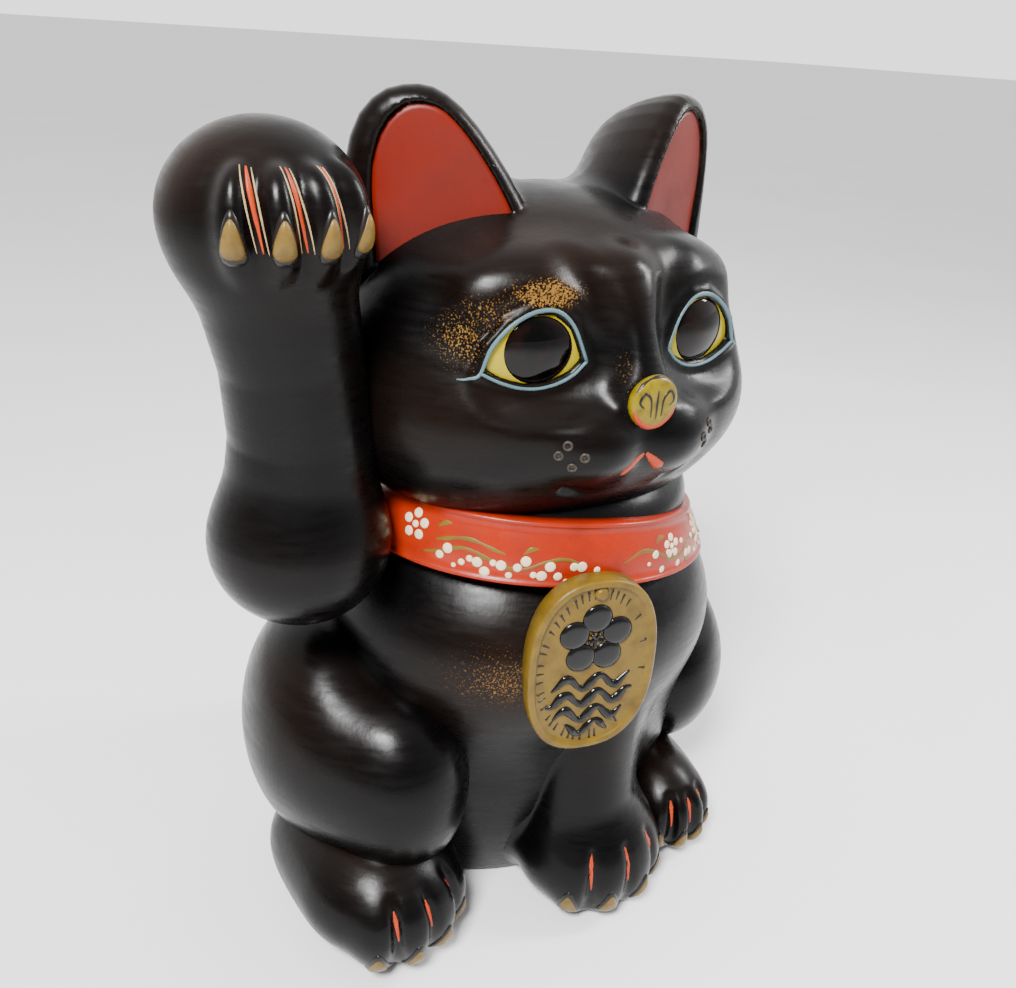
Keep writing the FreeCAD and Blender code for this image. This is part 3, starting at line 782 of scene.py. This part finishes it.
class Patches:
    """Thin raised shapes gathered into one piece."""

    def __init__(self):
        self.points, self.faces, self.count = [], [], 0

    def add(self, points, faces):
        self.faces += [[index + self.count for index in face] for face in faces]
        self.points.append(points)
        self.count += len(points)

    def finish(self, name, material, slot, *nodes):
        place_piece(make_mesh(name, np.vstack(self.points), self.faces, material), slot, *nodes)


def grid_faces(rows, columns, wrap=False, close=False):
    """Quads over a grid of points; wrap joins its last column to its first, close its rows."""
    faces = []
    for i in range(rows if close else rows - 1):
        for j in range(columns if wrap else columns - 1):
            a, c = i * columns, (i + 1) % rows * columns
            k = (j + 1) % columns
            faces.append([a + j, a + k, c + k, c + j])
    return faces


def stroke(patches, field, points, widths, height, count=18, depth=0.6, hub=None):
    """A domed ribbon of paint along a line laid on a field."""
    def lay(p):
        return onto(field, p) if hub is None else onto_from(field, p, hub)

    line = lay(smooth_line(points, count))
    wide = np.interp(np.linspace(0, 1, count), np.linspace(0, 1, len(widths)), widths)
    across = unit(np.cross(unit(np.gradient(line, axis=0)), normals(field, line)))
    offsets = np.linspace(-1, 1, 7)
    grid = line[:, None] + across[:, None] * offsets[None, :, None] * wide[:, None, None] / 2
    flat = lay(grid.reshape(-1, 3))
    up = normals(field, flat)
    dome = np.outer(np.minimum(1, wide / max(widths)), np.sqrt(1 - offsets ** 2)).ravel()
    top = flat + up * (dome * height - 0.06)[:, None]
    under = flat - up * depth
    columns, total = len(offsets), len(flat)
    faces = grid_faces(count, columns)
    faces += [[total + index for index in face[::-1]] for face in faces]
    rim = list(range(columns)) + [i * columns + columns - 1 for i in range(1, count)]
    rim += [(count - 1) * columns + j for j in range(columns - 2, -1, -1)]
    rim += [i * columns for i in range(count - 2, 0, -1)]
    for a, b in zip(rim, rim[1:] + rim[:1]):
        faces.append([b, a, total + a, total + b])
    patches.add(np.vstack([top, under]), faces)


DOME = ((1.0, -0.06), (0.93, 0.5), (0.72, 0.84), (0.4, 1.0))


def dab(patches, field, centre, outline, height, profile=DOME, depth=0.6):
    """A raised patch with a closed outline (across, up), laid on a field."""
    middle = onto(field, np.array([centre], float))
    facing = normals(field, middle)[0]
    right, up = upright(facing)
    hub = outline.mean(0)
    count = len(outline)
    flat = np.vstack([hub + (outline - hub) * scale for scale, _ in profile] + [hub])
    lifts = np.append(np.repeat([lift for _, lift in profile], count), profile[-1][1] * 1.03)
    laid = onto(field, middle + flat[:, :1] * right + flat[:, 1:] * up)
    out = normals(field, laid)
    top = laid + out * (lifts * height)[:, None]
    under = laid[:count] - out[:count] * depth
    under_hub = (laid[-1] - out[-1] * depth)[None]
    faces = grid_faces(len(profile), count, True)
    last, hub_index, low = (len(profile) - 1) * count, len(flat) - 1, len(flat)
    for j in range(count):
        k = (j + 1) % count
        faces.append([last + j, last + k, hub_index])
        faces.append([k, j, low + j, low + k])
        faces.append([low + k, low + j, low + count])
    patches.add(np.vstack([top, under, under_hub]), faces)


def circle(radius, count, squash=1.0):
    angle = np.linspace(0, 2 * math.pi, count, endpoint=False)
    return np.stack([np.cos(angle) * radius, np.sin(angle) * radius * squash], 1)


def ring(patches, centre, facing, radius, thick, count=18, sides=8):
    """A small torus lying flat against a surface."""
    right, up = upright(facing)
    points = []
    for a in np.linspace(0, 2 * math.pi, count, endpoint=False):
        outward = right * math.cos(a) + up * math.sin(a)
        for b in np.linspace(0, 2 * math.pi, sides, endpoint=False):
            reach = radius + thick * math.cos(b)
            points.append(centre + outward * reach + facing * thick * math.sin(b))
    faces = [face[::-1] for face in grid_faces(count, sides, True, True)]
    patches.add(np.array(points), faces)


def build_ears():
    """The smooth red panel sunk in each ear."""
    for side, name in SIDES:
        pivot, inward, backward = ear_axes(side)
        face = pivot + backward * 3.0

        def sheet(p):
            bulge = 0.8 * (((p - face) @ inward - 10) / 30) ** 2
            return -((p - face) @ backward) - bulge

        outline = EAR_PANEL if side < 0 else EAR_PANEL[::-1]
        middle = face + inward * 8 + np.array([0, 0, 330.0])
        drawn = np.stack([(outline[:, 0] - 8) * -side, outline[:, 1] - 330], 1)
        panel = Patches()
        dab(panel, sheet, middle, drawn * 0.985, 0.5, depth=1.6)
        panel.finish("ear_panel_" + name, EAR_RED, "ear_lacquer")


def build_eyes():
    lids = Patches()
    for side, name in SIDES:
        centre, across, facing = eye_axes(side)

        def eyeball(p):
            return ball(p, centre - facing * 6.5, (34, 9, 27), turn_z(side * EYE_TURN))

        def spot(u, v, out=0.0):
            return centre + across * u + np.array([0, 0, v]) + facing * out

        outline = (EYE_OUTLINE * [side, 1])[::side]      # counterclockwise for both eyes
        yellow = Patches()
        dab(yellow, eyeball, spot(0, 0, 3), outline * 1.03, 0.3, depth=4)
        yellow.finish("eye_panel_skin_" + name, EYE_YELLOW, "eye_yellow", "eye_panel_" + name)

        glass = Patches()
        cap = [(1, -0.05), (0.985, 0.16)]
        cap += [(r, 1 - 0.8 * r * r) for r in (0.95, 0.85, 0.7, 0.5, 0.3, 0.12)]
        dab(glass, eyeball, spot(-1.0, 0.3, 3), circle(14.4, 48, 0.95), 2.4, cap, 2)
        glass.finish("eye_glass_skin_" + name, GLASS, "eye_glass", "eye_glass_" + name)

        upper, lower = [
            [spot(u * 1.05, v * 1.05, 3) for u, v in half[::2]] for half in (EYE_UPPER, EYE_LOWER)
        ]
        flick = [spot(31, -10), spot(27.5, -9.5, 2)]
        stroke(lids, skull_field, flick + upper, [0.6, 1.5, 2.1, 2.0, 1.7, 1.5], 0.8, 44)
        stroke(lids, skull_field, lower, [1.4, 1.6, 1.4, 1.5, 1.3], 0.8, 36)
    lids.finish("eye_lid_lines", LID_BLUE, "lid_blue", "eyelid_rim_right", "eyelid_rim_left")


def nose_field(p):
    pad = ball(p, NOSE(0.5, -101.8, 262), (11.4, 7, 11.0))
    return meet(pad, NOSE(0, -105.2, 0)[1] - p[:, 1], 3)


def build_nose():
    nose = sculpt("nose_skin", nose_field, NOSE(-15, -112, 249), NOSE(15, -86, 278), 0.6, MUSTARD)
    place_piece(nose, "nose_yellow", "nose_pad")
    dark, red = Patches(), Patches()
    for side, _ in SIDES:
        curl = [
            NOSE(side * x, -106, z)
            for x, z in ((2.6, 257), (3.2, 264), (6.4, 267), (8.6, 263.5), (6.4, 261))
        ]
        stroke(dark, nose_field, curl, [0.7, 1.3, 1.3, 0.7], 0.4, 20)
        rim = [NOSE(side * x, -104, z) for x, z in ((0, 251), (4, 252), (8.5, 256), (11, 260))]
        stroke(red, nose_field, rim, [3.2, 3.6, 2.6, 0.8], 0.5, 14, hub=NOSE(0, -98, 262.5))
    middle = [NOSE(0, -106, 268), NOSE(0, -107, 262), NOSE(0, -106, 256)]
    stroke(dark, nose_field, middle, [0.6, 1.4, 0.6], 0.4, 12)
    worn = [math.radians(angle) for angle in range(22, 160, 10)]
    edge = [NOSE(11.2 * math.cos(a), -103.5, 262.5 + 10.8 * math.sin(a)) for a in worn]
    stroke(dark, nose_field, edge, [0.4, 1.5, 0.8, 2.1, 0.9, 1.7, 0.4], 0.35, 30)
    for side, _ in SIDES:
        mouth = [
            HEAD(side * x, -105, z)
            for x, z in ((0.4, 239.5), (3.5, 235.5), (7.5, 230.5), (9.5, 228.5))
        ]
        stroke(red, skull_field, mouth, [1.4, 3.8, 5.4, 1.8], 0.7, 16)
    dark.finish("nose_curls", PITCH, "nose_yellow")
    red.finish("mouth_strokes", STROKE_RED, "nose_yellow")


WHISKER_SPOTS = ((1.5, 4.6), (4.8, 0.4), (-5.4, 0.2), (-0.8, -4.4))


def build_whisker_rings():
    for side, name in SIDES:
        rings, hole_shade = Patches(), Patches()
        hub = onto(skull_field, HEAD(side * 31, -94, 243)[None])
        facing = normals(skull_field, hub)[0]
        right, up = upright(facing)
        for u, v in WHISKER_SPOTS:
            spot = onto(skull_field, hub + right * u * side + up * v)
            out = normals(skull_field, spot)[0]
            ring(rings, spot[0] + out * 0.1, out, 1.55, 0.6)
            # a dark paint disc in each ring: painted shade standing in for the open whisker hole
            dab(hole_shade, skull_field, spot[0], circle(1.2, 12), 0.12, depth=0.5)
        rings.finish("whisker_rings_" + name, CLAY_RING, "socket_black", "whisker_sockets_" + name)
        # the dark discs are painted shade for the whisker holes
        hole_shade.finish("whisker_hole_painted_shade_" + name, PITCH, "socket_black")


def collar_middle(x, y):
    """Height of the collar's middle line: in front it hangs lower toward the cat's left."""
    back = np.clip(y / 80, 0, 1)
    return (192 - 0.13 * x - 0.001 * x * x) * (1 - back) + (190 - 0.05 * x) * back


COLLAR_HALF = 13.5               # half of the band's height
COLLAR_RADII = (80.5, 78.5)
COLLAR_STEPS = 200


def collar_swell(side, height):
    """How far the band stands out: most low on the cat's left (side 1), over the shoulder."""
    shoulder = 8.5 * np.clip(side, 0, 1) ** 6 * np.clip(0.5 - height / (2 * COLLAR_HALF), 0, 1)
    return 2.2 * (1 - (height / COLLAR_HALF) ** 2) - 0.26 * height + shoulder


def collar_rim(angle, height, lift=0.0):
    """A point on the collar's outside: angle from straight ahead, height from its middle."""
    a = np.radians(angle)
    swell = collar_swell(np.sin(a), height) + lift
    x, y = np.sin(a) * (COLLAR_RADII[0] + swell), -np.cos(a) * (COLLAR_RADII[1] + swell)
    tall = 1 - 0.14 * np.clip(np.sin(a), 0, 1)
    return np.stack([x, y, collar_middle(x, y) + height * tall], -1) + COLLAR(1, -18, 0)


def collar_field(p):
    """Distance in front of the collar's outside, for laying paint on it."""
    q = p - COLLAR(1, -18, 0)
    height = q[:, 2] - collar_middle(q[:, 0], q[:, 1])
    swell = collar_swell(q[:, 0] / 80, height)
    across, along = q[:, 0] / (COLLAR_RADII[0] + swell), q[:, 1] / (COLLAR_RADII[1] + swell)
    return (np.sqrt(across ** 2 + along ** 2) - 1) * 80


def build_collar():
    heights = [-13.5, -13.3, -12.6, -11.7, -11.2, -8, -4, 0, 4, 8, 11.2, 11.7, 12.6, 13.3, 13.5]
    lifts = [0.2, 1.1, 1.5, 0.9, 0, 0, 0, 0, 0, 0, 0, 0.9, 1.5, 1.1, 0.2]
    heights += [13.0, -13.0]         # the inside
    lifts += [-7.0, -7.0]
    turns = np.linspace(-180, 180, COLLAR_STEPS, endpoint=False)
    rows = [collar_rim(turns, np.full(COLLAR_STEPS, h), lift) for h, lift in zip(heights, lifts)]
    band = Patches()
    band.add(np.vstack(rows), grid_faces(len(rows), COLLAR_STEPS, True, True))
    band.finish("collar_skin", COLLAR_RED, "collar_red", "collar_band")

    dots, vines = Patches(), Patches()

    def spot(angle, height):
        return collar_rim(np.array([angle]), np.array([height]))[0]

    def dot(angle, height, radius):
        dab(dots, collar_field, spot(angle, height), circle(radius, 14), 0.55)

    def blossom(angle, height, reach, radius):
        dot(angle, height, radius * 0.75)
        for k in range(5):
            turn = math.radians(90 + 72 * k)
            dot(angle + math.cos(turn) * reach * 0.72, height + math.sin(turn) * reach, radius)

    blossom(-68, 3.0, 4.6, 2.2)
    blossom(20, 0.5, 4.0, 1.9)
    blossom(42, 4.5, 3.4, 1.6)
    for count, start, step, base, swing, beat, sizes in (
        (21, -58, 2.35, -6.5, 3.2, 1.9, [1.1, 1.5, 1.9, 2.3]),
        (16, 8, 3.1, -4.0, 4.5, 2.3, [1.0, 1.3, 1.7, 2.0]),
    ):
        for k in range(count):
            height = base + swing * math.sin(k * beat) + RNG.uniform(-1.5, 1.5)
            dot(start + k * step, height, RNG.choice(sizes))
    for start, end, base, swing in ((-64, -14, -4.0, 3.0), (-2, 52, -2.5, 3.5), (-60, -38, 1.0, 2.0)):
        line = [spot(a, base + swing * math.sin(a * 0.22)) for a in np.linspace(start, end, 9)]
        stroke(vines, collar_field, line, [0.8, 2.2, 1.4, 2.4, 1.2, 2.0, 0.7], 0.3, 60)
    leaves = ((-60, 5, 1), (-47, -1, -1), (-33, 0, 1), (12, 3, 1), (28, -7, -1), (38, -2, 1))
    for angle, height, lean in leaves:
        leaf = [spot(angle + u, height + v * lean) for u, v in ((0, 0), (2.2, 2.2), (4.6, 2.6))]
        stroke(vines, collar_field, leaf, [0.6, 2.8, 0.6], 0.3, 12)
    dots.finish("collar_dots", CREAM, "collar_red")
    vines.finish("collar_vines", OLIVE, "collar_red")


KOBAN_TURN = -12.0
KOBAN_HALF = (29.4, 42.2)
KOBAN_STEPS = 120
KOBAN_FACE = 3.5                 # how far the face is in front of the coin's middle
BLOSSOM_RISE = 13.8


def build_koban():
    centre = KOBAN(-19, -105, 147.4)
    axes = turn_z(KOBAN_TURN)
    right, facing, up = axes[:, 0], -axes[:, 1], axes[:, 2]
    angles = np.linspace(0, 2 * math.pi, KOBAN_STEPS, endpoint=False)
    c, s = np.cos(angles), np.sin(angles)
    oval = np.sign(c) * np.abs(c) ** 0.8, np.sign(s) * np.abs(s) ** 0.8

    def row(inset, out):
        u, v = (shape * (half - inset) for shape, half in zip(oval, KOBAN_HALF))
        return centre + u[:, None] * right + v[:, None] * up + facing * out

    profile = (
        (8, -5.0), (1.2, -5.0), (0.2, -4.2), (0.0, 3.6), (0.3, 4.4), (1.1, 5.0), (2.6, 5.0),
        (3.4, 4.3), (4.1, 3.4), (6, 3.4), (12, 3.5), (20, 3.6),
    )
    hubs = [(centre - facing * 5.0)[None], (centre + facing * 3.6)[None]]
    points = np.vstack([row(inset, out) for inset, out in profile] + hubs)
    faces = grid_faces(len(profile), KOBAN_STEPS, True)
    last, back_hub, front_hub = (len(profile) - 1) * KOBAN_STEPS, len(points) - 2, len(points) - 1
    for j in range(KOBAN_STEPS):
        k = (j + 1) % KOBAN_STEPS
        faces += [[k, j, back_hub], [last + j, last + k, front_hub]]
    plate = Patches()
    plate.add(points, faces)
    plate.finish("koban_skin", OLD_GOLD, "old_gold", "koban_plate")

    def face(p):
        return (p - centre) @ facing - KOBAN_FACE

    def spot(u, v):
        return centre + right * u + up * v + facing * KOBAN_FACE

    def petal(degrees, reach):
        turn = math.radians(degrees)
        return spot(reach * math.cos(turn), BLOSSOM_RISE + reach * math.sin(turn))

    marks = Patches()
    for k in range(5):
        dab(marks, face, petal(90 + 72 * k, 10.2), circle(6.9, 24), 1.8)
    for k in range(5):
        stroke(marks, face, [spot(0, BLOSSOM_RISE), petal(54 + 72 * k, 3.5)], [1.4, 2.4], 1.6, 6)
    waves = ((-7.5, 18, 4.6), (-15.7, 20, 5.0), (-23.9, 16, 4.8), (-31.2, 10, 3.8))
    for rise, reach, thick in waves:
        line = [spot(u, rise + 3.0 * math.sin(u * 0.42)) for u in np.linspace(-reach, reach, 13)]
        stroke(marks, face, line, [1.2, thick, thick * 0.6, thick, thick * 0.6, thick, 1.2], 1.7, 60)
    marks.finish("koban_blossom", PITCH_GLOSS, "emblem_black", "koban_emblem")

    dashes = Patches()
    dash_count = 46
    for k in range(dash_count):
        a = 2 * math.pi * k / dash_count + RNG.uniform(-0.03, 0.03)
        if math.cos(a) > 0.35 and RNG.random() < 0.6:
            continue
        u = (KOBAN_HALF[0] - 4.2) * math.cos(a)
        v = (KOBAN_HALF[1] - 4.2) * math.sin(a)
        inner = 0.90 - RNG.uniform(0, 0.03)
        stroke(dashes, face, [spot(u, v), spot(u * inner, v * inner)], [1.2, 0.5], 0.35, 5)
    dashes.finish("koban_dashes", PITCH, "old_gold")

    stud = Patches()
    dab(stud, face, spot(0.5, 35.9), circle(3.2, 28, 0.92), 2.2, depth=8)
    stud.finish("koban_stud_skin", OLD_GOLD, "coin_stud", "koban_stud")


CLAW_OUTLINE = smooth_outline(
    [(-4.8, -7.5), (4.8, -7.5), (3.2, -1), (0.9, 7.5), (-0.9, 7.5), (-3.2, -1)])


def build_paws():
    """Claws and orange strokes: a claw on each toe, a stroke in each groove; on the raised paw, pale
    lines along the groove edges are a painted highlight.
    """
    # name, field, middle, radii, toe angles, claws' height, strokes' heights and lean, claw size,
    # width of the pale lines beside the strokes, a painted highlight on the groove edges
    paws = (
        ("raised_paw", arm_field, ARM(-131, -35, 327), (39, 40), ARM_ANGLES,
         -2, (22, 10, -8), 7, (1.2, 0.95), 0.8),
        ("foreleg", foreleg_field, FORELEG(6, -87, 24), (38, 34), FORE_ANGLES,
         -11, (17, 8, -3), 2, (1.2, 0.85), 0.0),
        ("hind_right", lambda p: hind_paw_field(p, -1), HIND_PAWS[-1](-98, -62, 28), (40, 46),
         HIND_ANGLES[-1], -15, (14, 6, -3), 2, (1.25, 0.85), 0.0),
        ("hind_left", lambda p: hind_paw_field(p, 1), HIND_PAWS[1](60, -72, 24), (26, 34),
         HIND_ANGLES[1], -11, (15, 8, -3), 2, (1.1, 0.9), 0.0),
    )
    strokes, edges = Patches(), Patches()
    for name, field, at, radii, angles, drop, heights, lean, size, edge in paws:
        claws, hoods = Patches(), Patches()
        for angle in angles:
            spot = round_paw(at, radii, angle, 1.0, drop)
            dab(hoods, field, spot, CLAW_OUTLINE * size * 1.4, 1.1, depth=1.0)
            dab(claws, field, spot, CLAW_OUTLINE * size, 1.9, depth=1.0)
        hoods.finish("claw_hoods_" + name, PITCH, "claw_gold")
        claws.finish("claws_skin_" + name, CLAW_GOLD, "claw_gold", "claws_" + name)
        for left, right in zip(angles[:-1], angles[1:]):
            middle = (left + right) / 2
            tilts = (-lean, -lean * 0.4, lean * 0.3)
            lines = [(0, [0.8, 2.3, 1.7, 0.7], strokes, 0.7)]
            # pale lines on either side of the stroke: a painted highlight on the groove edges
            if edge:
                lines += [(3, [0.4, edge, edge, 0.4], edges, 0.5), (-3.5, [0.4, edge, 0.4], edges, 0.5)]
            for offset, widths, group, lift in lines:
                line = [
                    round_paw(at, radii, middle + offset + tilt, 0.86 if height > 15 else 1.0, height)
                    for height, tilt in zip(heights, tilts)
                ]
                stroke(group, field, line, widths, lift, 24, hub=at)
    strokes.finish("toe_strokes", STROKE_RED, "black_lacquer")
    # the pale lines along the grooves are a painted highlight
    edges.finish("toe_groove_painted_highlights", GROOVE_HIGHLIGHT_PAINT, "black_lacquer")


# ---------------- the studio

def new_light(name, place, target, size, watts):
    data = bpy.data.lights.new(name, "AREA")
    data.shape = "RECTANGLE"
    data.size, data.size_y = size
    data.energy = watts
    light = bpy.data.objects.new(name, data)
    light.location = place
    light.rotation_euler = (Vector(target) - Vector(place)).to_track_quat("-Z", "Y").to_euler()
    bpy.context.scene.collection.objects.link(light)


def build_studio():
    reach, low = 40000.0, -0.3           # millimetres; just under the feet
    corners = ((-1, -1), (1, -1), (1, 1), (-1, 1))
    floor_points = [(reach * x, reach * y, low) for x, y in corners]
    tree = Finish("studio_floor")
    tint = tree.mix(tree.ramp(tree.noise(3.0), 0.3, 0.7), (0.74, 0.74, 0.74), (0.78, 0.78, 0.78))
    material = tree.surface(tint, 0.75)
    floor = make_mesh("studio_floor", floor_points, [(0, 1, 2, 3)], material, False)

    world = bpy.data.worlds.new("studio")
    bpy.context.scene.world = world
    tree = Tree(world)
    behind = (0.54, 0.84, 0.2)           # the white backdrop is behind the cat
    depth = tree.node("VectorMath", tree.node("TexCoord").outputs["Generated"], behind)
    depth.operation = "DOT_PRODUCT"
    background = tree.nodes["Background"].inputs
    tree.put(background["Strength"], tree.ramp(depth.outputs["Value"], -0.6, 0.7, 0.35, 2.0))
    background["Color"].default_value = (1.0, 1.0, 1.0, 1)

    new_light("key_softbox", (-0.75, -0.65, 1.25), (-0.02, -0.02, 0.22), (0.36, 0.36), 62)
    new_light("fill_softbox", (0.95, -0.35, 0.9), (0.0, 0.0, 0.2), (0.16, 0.5), 16)

    azimuth, elevation, roll = (math.radians(angle) for angle in (-32.6, 24.6, 3.9))
    data = bpy.data.cameras.new("camera")
    data.sensor_width = 36.0
    data.lens = 35.43
    camera = bpy.data.objects.new("camera", data)
    camera.matrix_world = (
        Matrix.Translation((-0.2469, -0.3877, 0.3892)) @ Matrix.Rotation(azimuth, 4, "Z")
        @ Matrix.Rotation(math.pi / 2 - elevation, 4, "X") @ Matrix.Rotation(roll, 4, "Z"))
    bpy.context.scene.collection.objects.link(camera)
    bpy.context.scene.camera = camera


# the foot disc and the putty behind the glass keep their CAD shapes
for node, material in (
    ("base_plate", CLAY), ("eye_bedding_right", PUTTY), ("eye_bedding_left", PUTTY),
):
    for material_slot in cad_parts[node].material_slots:
        material_slot.material = material

build_forms()
build_ears()
build_eyes()
build_nose()
build_whisker_rings()
build_collar()
build_koban()
build_paws()
build_studio()
